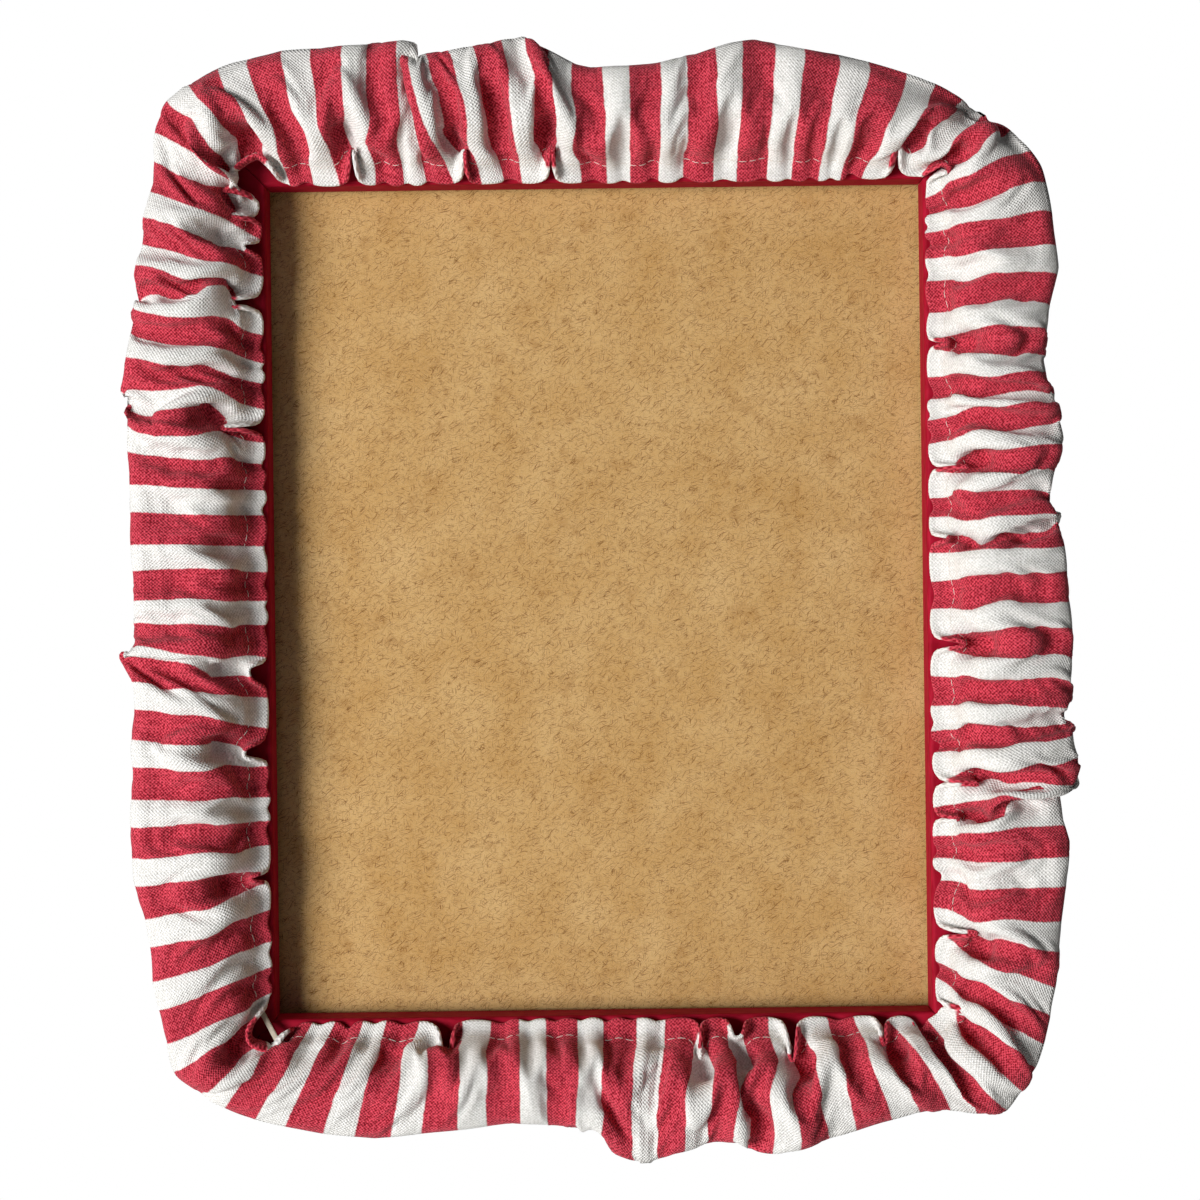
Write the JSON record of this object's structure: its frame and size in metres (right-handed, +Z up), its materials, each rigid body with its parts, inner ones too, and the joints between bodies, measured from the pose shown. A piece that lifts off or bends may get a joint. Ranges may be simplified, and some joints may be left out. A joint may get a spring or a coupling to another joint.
{
  "type": "picture frame",
  "caption": "Wall picture frame for a standard print: mitred painted timber under a gathered striped fabric cover, with a clear pane and a fibreboard back held by turn buttons.",
  "frame": {"origin": "middle of the backing board's rear face, which faces the wall", "axes": "+Z up, +X to the viewer's right, +Y towards the wall, so the picture faces -Y"},
  "size_m": [0.2783, 0.032, 0.3271],
  "materials": {
    "acrylic": "clear polished acrylic sheet",
    "fibreboard": "raw fibreboard with short dark fibres",
    "elastic": "undyed flat elastic",
    "painted_wood": "crimson paint, satin",
    "zinc_steel": "zinc plated",
    "brassed_steel": "brass plated",
    "striped_linen": "heavy linen, crimson and off-white stripes"
  },
  "bodies": {
    "frame": {"acrylic_pane": "acrylic", "backing_board": "fibreboard", "front_elastic": "elastic", "back_elastic": "elastic", "rail_top": "painted_wood", "rail_right": "painted_wood", "rail_bottom": "painted_wood", "rail_left": "painted_wood", "corner_wedge_top": "zinc_steel", "corner_wedge_right": "zinc_steel", "corner_wedge_bottom": "zinc_steel", "corner_wedge_left": "zinc_steel", "button_screw_top_1": "zinc_steel", "button_screw_top_2": "zinc_steel", "button_screw_right_1": "zinc_steel", "button_screw_right_2": "zinc_steel", "button_screw_bottom_1": "zinc_steel", "button_screw_bottom_2": "zinc_steel", "button_screw_left_1": "zinc_steel", "button_screw_left_2": "zinc_steel", "sawtooth_hanger": "brassed_steel", "hanger_nail_1": "brassed_steel", "hanger_nail_2": "brassed_steel", "ruffle_top": "striped_linen", "ruffle_right": "striped_linen", "ruffle_bottom": "striped_linen", "ruffle_left": "striped_linen"},
    "button_top_1": {"turn_button_top_1": "zinc_steel"},
    "button_top_2": {"turn_button_top_2": "zinc_steel"},
    "button_right_1": {"turn_button_right_1": "zinc_steel"},
    "button_right_2": {"turn_button_right_2": "zinc_steel"},
    "button_bottom_1": {"turn_button_bottom_1": "zinc_steel"},
    "button_bottom_2": {"turn_button_bottom_2": "zinc_steel"},
    "button_left_1": {"turn_button_left_1": "zinc_steel"},
    "button_left_2": {"turn_button_left_2": "zinc_steel"}
  },
  "joints": [
    {"name": "turn_top_1", "type": "hinge", "parent": "frame", "child": "button_top_1", "pos_m": [-0.062, 0.0012, 0.13173], "axis": [0, 1, 0], "range_deg": [-90, 90]},
    {"name": "turn_top_2", "type": "hinge", "parent": "frame", "child": "button_top_2", "pos_m": [0.062, 0.0012, 0.13173], "axis": [0, 1, 0], "range_deg": [-90, 90]},
    {"name": "turn_right_1", "type": "hinge", "parent": "frame", "child": "button_right_1", "pos_m": [0.10633, 0.0012, 0.07], "axis": [0, 1, 0], "range_deg": [-90, 90]},
    {"name": "turn_right_2", "type": "hinge", "parent": "frame", "child": "button_right_2", "pos_m": [0.10633, 0.0012, -0.07], "axis": [0, 1, 0], "range_deg": [-90, 90]},
    {"name": "turn_bottom_1", "type": "hinge", "parent": "frame", "child": "button_bottom_1", "pos_m": [0.062, 0.0012, -0.13173], "axis": [0, 1, 0], "range_deg": [-90, 90]},
    {"name": "turn_bottom_2", "type": "hinge", "parent": "frame", "child": "button_bottom_2", "pos_m": [-0.062, 0.0012, -0.13173], "axis": [0, 1, 0], "range_deg": [-90, 90]},
    {"name": "turn_left_1", "type": "hinge", "parent": "frame", "child": "button_left_1", "pos_m": [-0.10633, 0.0012, -0.07], "axis": [0, 1, 0], "range_deg": [-90, 90]},
    {"name": "turn_left_2", "type": "hinge", "parent": "frame", "child": "button_left_2", "pos_m": [-0.10633, 0.0012, 0.07], "axis": [0, 1, 0], "range_deg": [-90, 90]}
  ]
}
